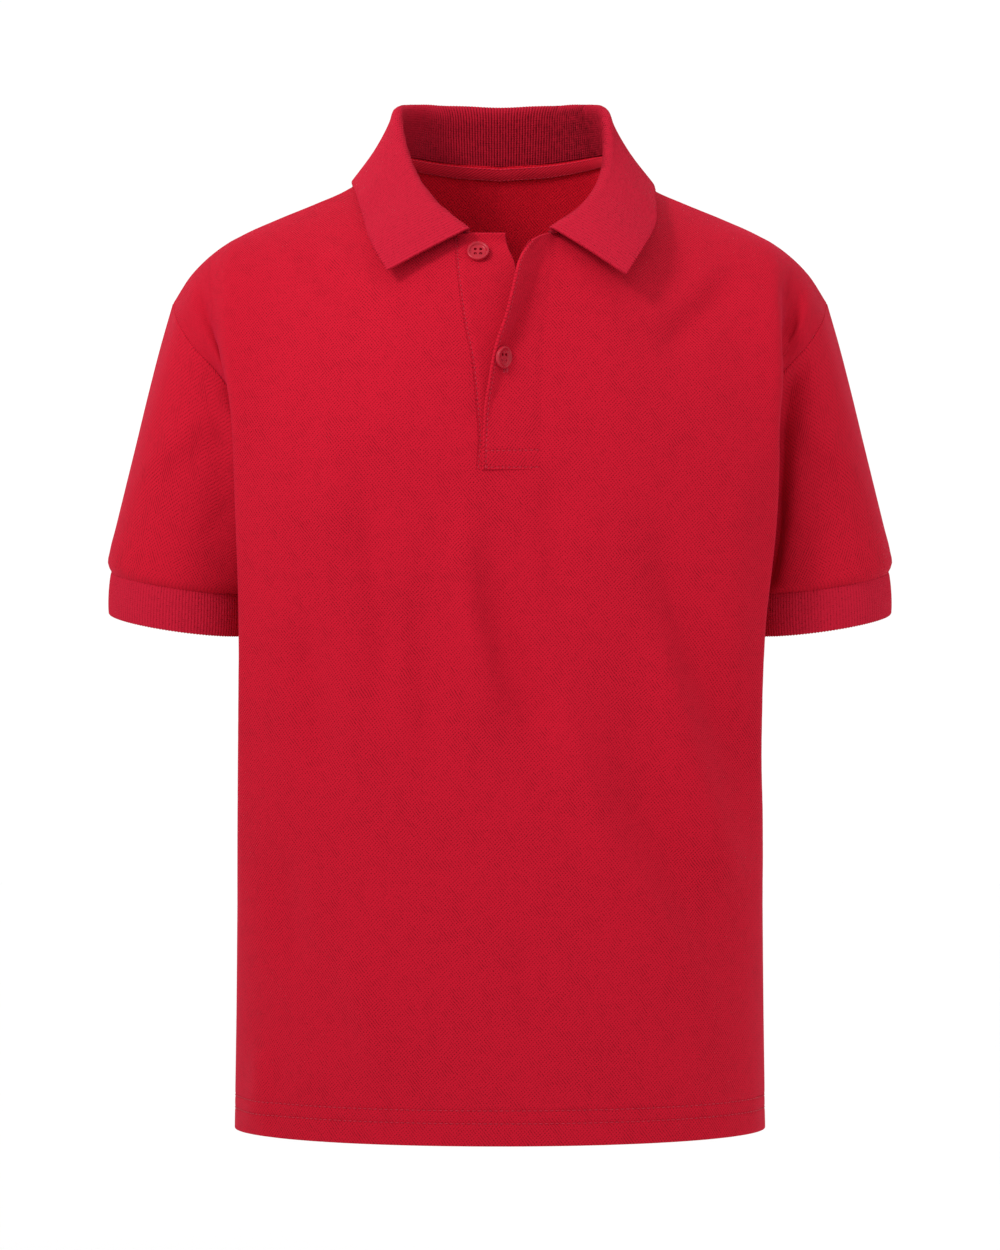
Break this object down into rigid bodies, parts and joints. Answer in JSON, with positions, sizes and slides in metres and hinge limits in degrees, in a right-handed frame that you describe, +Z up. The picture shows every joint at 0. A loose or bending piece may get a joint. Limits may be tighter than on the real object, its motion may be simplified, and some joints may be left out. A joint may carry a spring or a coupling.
{
  "type": "child's short-sleeved polo shirt",
  "caption": "Short-sleeved knit polo shirt, hollow and filled out as worn, with a ribbed fold-over collar, buttoned placket, ribbed cuffs and a straight stitched hem.",
  "frame": {"origin": "where the shirt is held up: midway between the wearer's shoulders, at the height where the collar's edge crosses the shoulder seams", "axes": "+Z up along the wearer's spine, -Y out of the front of the chest, +X to the wearer's left"},
  "size_m": [0.4532, 0.2059, 0.5948],
  "materials": {
    "pique": "matte pique knit with a fine diagonal texture",
    "rib": "matte flat-knit rib",
    "tape": "matte twill",
    "button": "satin"
  },
  "bodies": {
    "root": {"front": "pique", "back": "pique", "sleeve_right": "pique", "sleeve_left": "pique", "cuff_right": "rib", "cuff_left": "rib", "collar": "rib", "placket_over": "pique", "placket_under": "pique", "neck_tape": "tape", "button_top": "button", "button_low": "button"}
  },
  "joints": []
}
